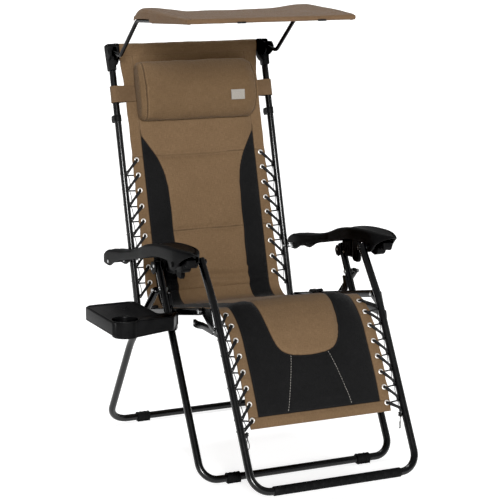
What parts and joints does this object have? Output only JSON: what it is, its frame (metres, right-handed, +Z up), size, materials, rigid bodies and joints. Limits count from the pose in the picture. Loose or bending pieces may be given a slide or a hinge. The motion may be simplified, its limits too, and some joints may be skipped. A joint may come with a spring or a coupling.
{
  "type": "sun lounger with canopy",
  "caption": "Folding reclining sun lounger: tubular steel frame, laced padded sling, head pillow, tilting sun canopy, contoured armrests with lock levers, and a clip-on side tray.",
  "frame": {"origin": "bottom centre of the whole lounger's box, on the floor", "axes": "+Z up; the sitter faces -Y and +Y is behind the backrest; +X is the sitter's left"},
  "size_m": [0.837, 1.0338, 1.275],
  "materials": {
    "frame_black": "gloss black powder-coated steel tube",
    "moulded_plastic": "dark grey-black moulded plastic with a fine grain and a soft sheen",
    "rivet_steel": "zinc-plated domed rivet and bolt heads",
    "brown_fabric": "padded brown-taupe woven polyester",
    "black_fabric": "black woven polyester panels",
    "elastic_cord": "black braided elastic cord"
  },
  "bodies": {
    "front_leg": {"front_leg_tube": "frame_black", "pivot_bracket_left": "frame_black", "pivot_bracket_right": "frame_black", "leg_pivot_rivet_left": "rivet_steel", "leg_pivot_rivet_right": "rivet_steel", "leg_slide_fin_left": "moulded_plastic", "leg_slide_fin_right": "moulded_plastic", "front_foot_sleeve_left": "moulded_plastic", "front_foot_sleeve_right": "moulded_plastic"},
    "rear_leg": {"rear_leg_tube": "frame_black", "rear_foot_sleeve_left": "moulded_plastic", "rear_foot_sleeve_right": "moulded_plastic"},
    "rail_pivots": {"rail_pivot_bolt_left": "rivet_steel", "rail_pivot_bolt_right": "rivet_steel"},
    "seat_rails": {"seat_rail_left": "frame_black", "seat_rail_right": "frame_black", "rail_clip_left": "moulded_plastic", "rail_clip_right": "moulded_plastic", "seat_pad": "black_fabric"},
    "back_pivots": {"back_pivot_bolt_left": "rivet_steel", "back_pivot_bolt_right": "rivet_steel"},
    "back_frame": {"back_tube_left": "frame_black", "back_tube_right": "frame_black", "back_top_bar": "frame_black", "back_end_cap_left": "moulded_plastic", "back_end_cap_right": "moulded_plastic", "corner_bracket_left": "moulded_plastic", "corner_bracket_right": "moulded_plastic", "back_stop_left": "moulded_plastic", "back_stop_right": "moulded_plastic", "canopy_pivot_bolt_left": "rivet_steel", "canopy_pivot_bolt_right": "rivet_steel", "back_pad": "brown_fabric", "back_lacing_left": "elastic_cord", "back_lacing_right": "elastic_cord"},
    "canopy": {"canopy_frame": "frame_black", "canopy_fabric": "brown_fabric"},
    "headrest": {"head_pillow": "brown_fabric", "pillow_strap_left": "brown_fabric", "pillow_strap_right": "brown_fabric"},
    "foot_pivots": {"foot_pivot_bolt_left": "rivet_steel", "foot_pivot_bolt_right": "rivet_steel"},
    "foot_frame": {"foot_tube": "frame_black", "foot_bracket_left": "frame_black", "foot_bracket_right": "frame_black", "foot_bar_sleeve": "moulded_plastic", "leg_pad": "black_fabric", "leg_lacing_left": "elastic_cord", "leg_lacing_right": "elastic_cord"},
    "arm_pivots": {"arm_pivot_bolt_left": "rivet_steel", "arm_pivot_bolt_right": "rivet_steel"},
    "armrests": {"armrest_left": "moulded_plastic", "armrest_right": "moulded_plastic", "arm_axle_left": "frame_black", "arm_axle_right": "frame_black", "lock_box_left": "moulded_plastic", "lock_box_right": "moulded_plastic"},
    "lever_left": {"lock_lever_left": "moulded_plastic"},
    "lever_right": {"lock_lever_right": "moulded_plastic"},
    "tray": {"tray_top": "moulded_plastic"}
  },
  "joints": [
    {"name": "rail_fold", "type": "hinge", "parent": "front_leg", "child": "rail_pivots", "pos_m": [0.0765, -0.00488, 0.4335], "axis": [1, 0, 0], "range_deg": [-100, 0]},
    {"name": "leg_fold", "type": "hinge", "parent": "front_leg", "child": "rear_leg", "pos_m": [0.0765, -0.00288, 0.5], "axis": [1, 0, 0], "range_deg": [-68, 0]},
    {"name": "rail_tilt", "type": "hinge", "parent": "rail_pivots", "child": "seat_rails", "pos_m": [0.0765, -0.00488, 0.4335], "axis": [-1, 0, 0], "range_deg": [0, 22.5]},
    {"name": "back_fold", "type": "hinge", "parent": "seat_rails", "child": "back_pivots", "pos_m": [0.0765, 0.29212, 0.371], "axis": [1, 0, 0], "range_deg": [0, 81.8]},
    {"name": "recline", "type": "hinge", "parent": "back_pivots", "child": "back_frame", "pos_m": [0.0765, 0.29212, 0.371], "axis": [-1, 0, 0], "range_deg": [0, 22.5]},
    {"name": "foot_fold", "type": "hinge", "parent": "seat_rails", "child": "foot_pivots", "pos_m": [0.0765, -0.20688, 0.476], "axis": [1, 0, 0], "range_deg": [0, 100.7]},
    {"name": "foot_recline", "type": "hinge", "parent": "foot_pivots", "child": "foot_frame", "pos_m": [0.0765, -0.20688, 0.476], "axis": [-1, 0, 0], "range_deg": [0, 26.1]},
    {"name": "arm_fold", "type": "hinge", "parent": "back_frame", "child": "arm_pivots", "pos_m": [0.0765, 0.33012, 0.524], "axis": [1, 0, 0], "range_deg": [-79.4, 0]},
    {"name": "arm_tilt", "type": "hinge", "parent": "arm_pivots", "child": "armrests", "pos_m": [0.0765, 0.33012, 0.524], "axis": [-1, 0, 0], "range_deg": [-22.59, 0]},
    {"name": "canopy_tilt", "type": "hinge", "parent": "back_frame", "child": "canopy", "pos_m": [0.0765, 0.46412, 1.132], "axis": [-1, 0, 0], "range_deg": [-15, 120]},
    {"name": "headrest_slide", "type": "slide", "parent": "back_frame", "child": "headrest", "axis": [0, 0.2572, 0.9664], "range_m": [-0.035, 0.02]},
    {"name": "lever_left_squeeze", "type": "hinge", "parent": "armrests", "child": "lever_left", "pos_m": [0.0765, -0.17088, 0.606], "axis": [-1, 0, 0], "range_deg": [0, 8], "stiffness_Nm_per_rad": 1.5},
    {"name": "lever_right_squeeze", "type": "hinge", "parent": "armrests", "child": "lever_right", "pos_m": [0.0765, -0.17088, 0.606], "axis": [-1, 0, 0], "range_deg": [0, 8], "stiffness_Nm_per_rad": 1.5},
    {"name": "tray_lift", "type": "slide", "parent": "front_leg", "child": "tray", "axis": [0, 0, 1], "range_m": [0, 0.08]}
  ],
  "couplings": [
    {"joint": "leg_fold", "follows": "rail_fold", "ratio": 0.68},
    {"joint": "back_fold", "follows": "rail_fold", "ratio": -0.818},
    {"joint": "foot_fold", "follows": "rail_fold", "ratio": -1.007},
    {"joint": "arm_fold", "follows": "rail_fold", "ratio": 0.794},
    {"joint": "rail_tilt", "follows": "recline", "ratio": 1},
    {"joint": "foot_recline", "follows": "recline", "ratio": 1.16},
    {"joint": "arm_tilt", "follows": "recline", "ratio": -1.004}
  ]
}
